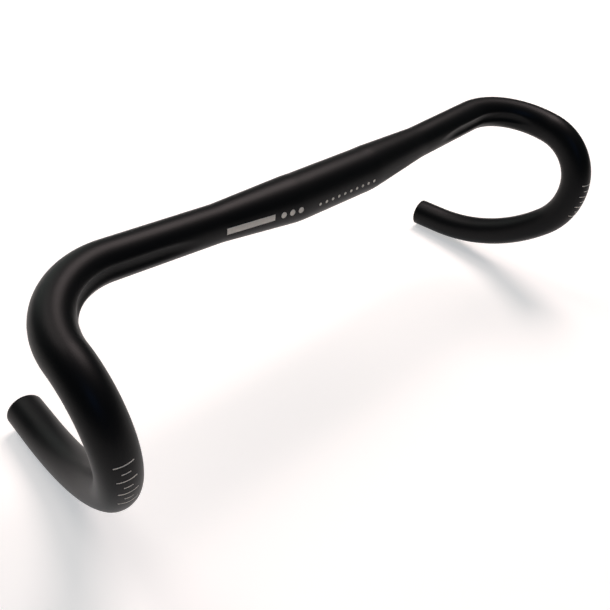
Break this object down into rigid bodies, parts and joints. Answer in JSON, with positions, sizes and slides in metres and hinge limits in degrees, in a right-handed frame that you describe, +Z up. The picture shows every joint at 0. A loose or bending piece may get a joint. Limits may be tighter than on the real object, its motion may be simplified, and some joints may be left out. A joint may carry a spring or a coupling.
{
  "type": "drop handlebar",
  "caption": "Drop handlebar for a road bike: a bent alloy tube with a thick round stem clamp, swept tops, pressed cable channels, curved hooks and open ends.",
  "frame": {"origin": "centre of the round stem clamp, on its axis", "axes": "+X along the clamp's axis to the rider's right, +Y forward, +Z up, with the bar set as it is ridden: the tube leaves the top bends 7 degrees below level"},
  "size_m": [0.4748, 0.1473, 0.1566],
  "materials": {
    "black_anodised": "satin black anodised"
  },
  "bodies": {
    "root": {"drop_bar": "black_anodised"}
  },
  "joints": []
}
